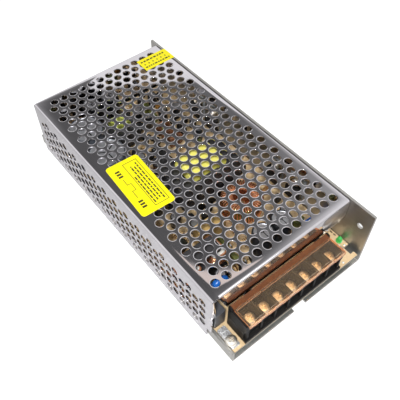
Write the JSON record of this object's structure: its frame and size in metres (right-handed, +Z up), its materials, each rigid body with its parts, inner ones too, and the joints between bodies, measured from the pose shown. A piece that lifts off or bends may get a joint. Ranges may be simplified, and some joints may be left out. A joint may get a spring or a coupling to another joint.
{
  "type": "mesh case switching power supply",
  "caption": "Open mesh case power supply with a folded chassis, perforated cover, screw terminal block under a hinged lid and a populated board.",
  "frame": {"origin": "middle of the case's box on the surface that it stands on", "axes": "+Y from the terminals to the rear, +X to the tall chassis wall, +Z up"},
  "size_m": [0.098, 0.199, 0.0421],
  "materials": {
    "chassis_sheet": "plain folded sheet",
    "cover_sheet": "bright plated sheet",
    "screw_steel": "bright plated",
    "clear_film": "thin film",
    "standoff_steel": "plated",
    "board_laminate": "phenolic laminate",
    "bright_plate": "bright tin plate",
    "black_plastic": "moulded",
    "plated_contact": "tin plated",
    "amber_plastic": "clear moulded, amber",
    "green_lens": "clear lens, green",
    "blue_plastic": "moulded",
    "white_plastic": "moulded",
    "blue_coating": "dipped",
    "dark_coating": "dipped",
    "ferrite": "ground ferrite",
    "enamelled_wire": "enamelled copper wire",
    "yellow_plastic": "moulded",
    "fuse_glass": "glass tube",
    "grey_can": "bare can",
    "yellow_tape": "polyester tape",
    "black_sleeve_can": "sleeved can",
    "resistor_coating": "coated",
    "red_coating": "dipped",
    "grey_pad": "silicone pad",
    "yellow_paper": "printed label stock",
    "white_paper": "printed label stock"
  },
  "bodies": {
    "case": {"chassis": "chassis_sheet", "cover": "cover_sheet", "case_screws": "screw_steel", "insulating_sheet": "clear_film", "standoffs": "standoff_steel", "circuit_board": "board_laminate", "board_screws": "screw_steel", "earth_bracket": "bright_plate", "earth_screw": "screw_steel", "terminal_block": "black_plastic", "terminal_contacts": "plated_contact", "clamp_washers": "bright_plate", "terminal_screws": "screw_steel", "indicator_led": "green_lens", "trimmer_body": "blue_plastic", "input_filter_block": "black_plastic", "blue_disc_capacitor": "blue_coating", "inrush_thermistor": "dark_coating", "line_filter_core": "ferrite", "line_filter_windings": "enamelled_wire", "line_filter_foot": "black_plastic", "box_capacitor": "yellow_plastic", "fuse": "fuse_glass", "fuse_clips": "bright_plate", "bridge_rectifier": "black_plastic", "bulk_capacitor_front": "grey_can", "bulk_capacitor_rear": "grey_can", "transformer_core": "ferrite", "transformer_winding": "yellow_tape", "transformer_bobbin": "black_plastic", "driver_core": "ferrite", "driver_winding": "yellow_tape", "choke_winding": "enamelled_wire", "output_capacitors": "black_sleeve_can", "rear_capacitors": "black_sleeve_can", "control_chip": "black_plastic", "power_resistors": "resistor_coating", "film_capacitors": "red_coating", "output_rectifiers": "black_plastic", "switching_transistors": "black_plastic", "insulating_pads": "grey_pad", "device_screws": "screw_steel", "large_label": "yellow_paper", "small_label": "white_paper"},
    "terminal_lid": {"terminal_lid": "amber_plastic"},
    "trimmer_rotor": {"trimmer_rotor": "white_plastic"}
  },
  "joints": [
    {"name": "lid_hinge", "type": "hinge", "parent": "case", "child": "terminal_lid", "pos_m": [-0.004, -0.08535, 0.02685], "axis": [-1, 0, 0], "range_deg": [0, 90]},
    {"name": "trimmer_turn", "type": "hinge", "parent": "case", "child": "trimmer_rotor", "pos_m": [0.0385, -0.0692, 0.013], "axis": [0, 0, 1], "range_deg": [-120, 120]}
  ]
}
